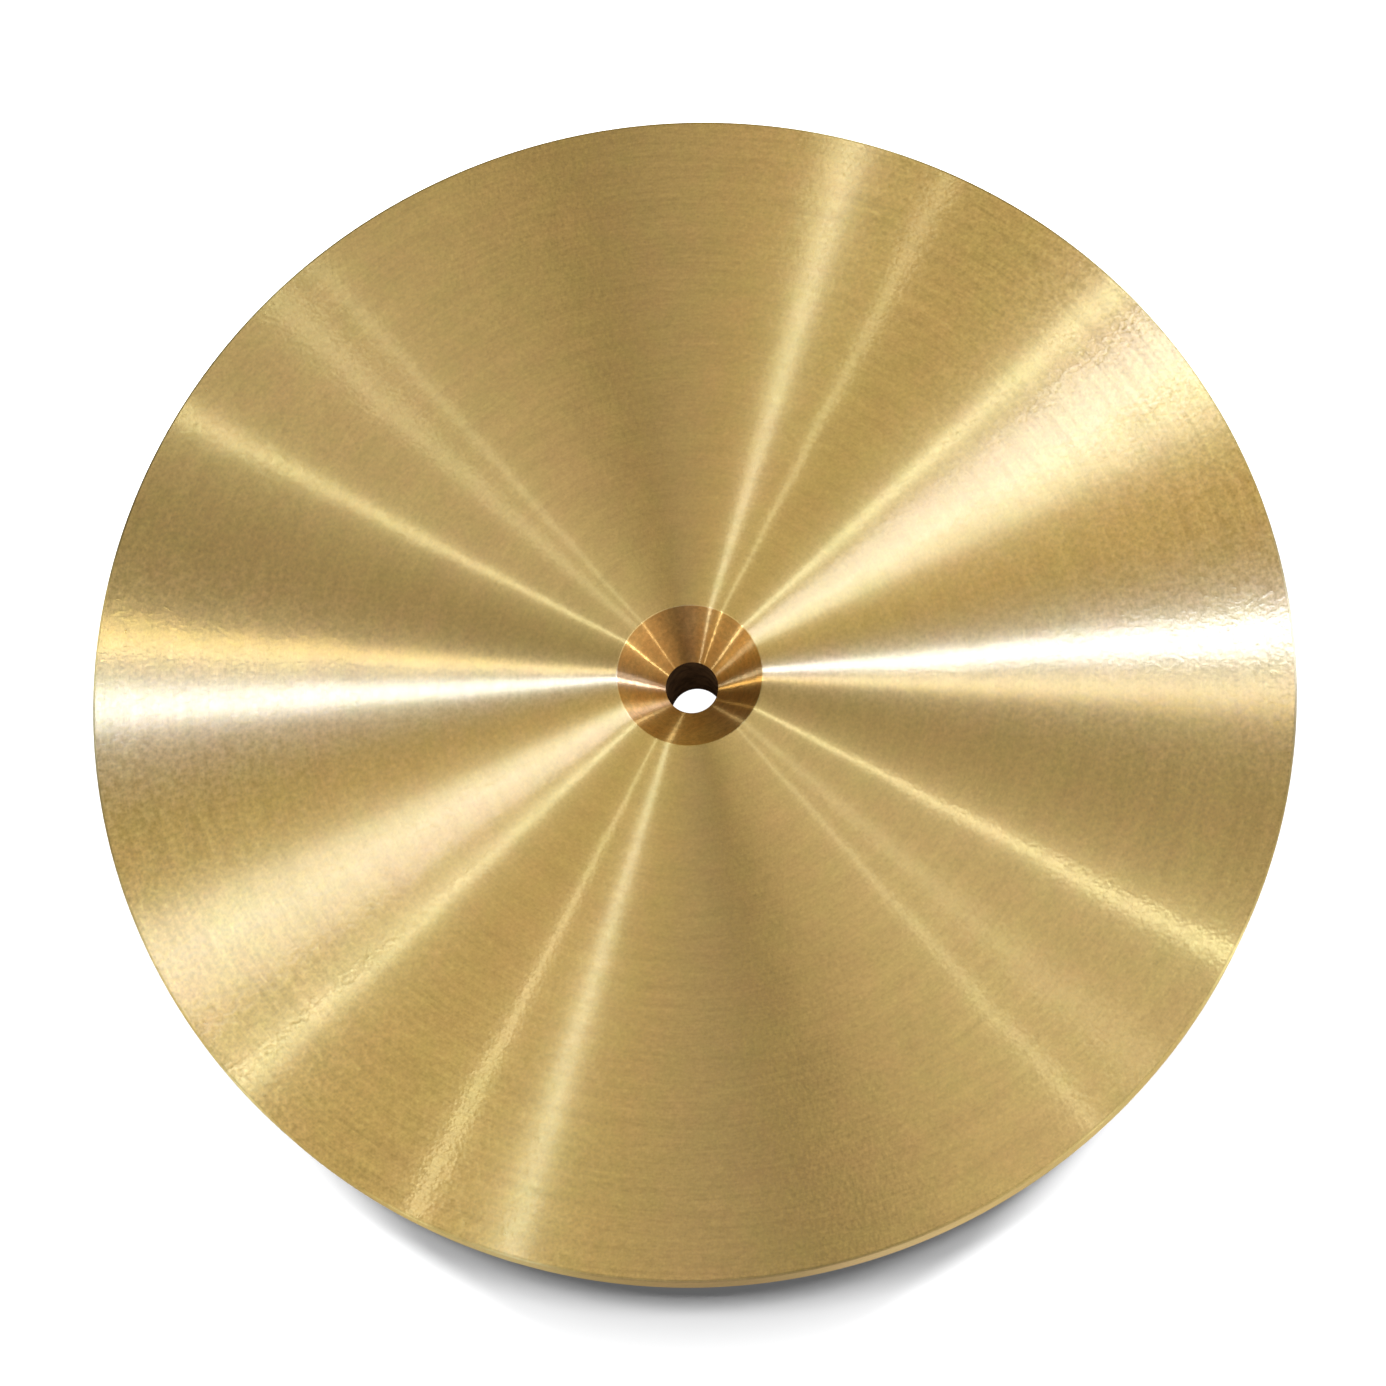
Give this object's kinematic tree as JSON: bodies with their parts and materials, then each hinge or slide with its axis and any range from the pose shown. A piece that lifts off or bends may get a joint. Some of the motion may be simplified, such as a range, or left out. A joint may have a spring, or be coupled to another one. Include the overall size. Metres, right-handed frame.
{
  "type": "crotale",
  "caption": "Thick flat turned bronze disc, tuned to one note, with a conical cup and a bore through a short boss behind, for mounting on a post.",
  "frame": {"origin": "centre of the boss's flat end, on the turning axis, the lowest plane of the part", "axes": "+Z along the turning axis, out of the flat face with the cup; X and Y are alike, because the part is round"},
  "size_m": [0.14, 0.14, 0.0174],
  "materials": {
    "bell_bronze": "fine circular turning marks under a satin polish"
  },
  "bodies": {
    "root": {"cymbal_disc": "bell_bronze"}
  },
  "joints": []
}
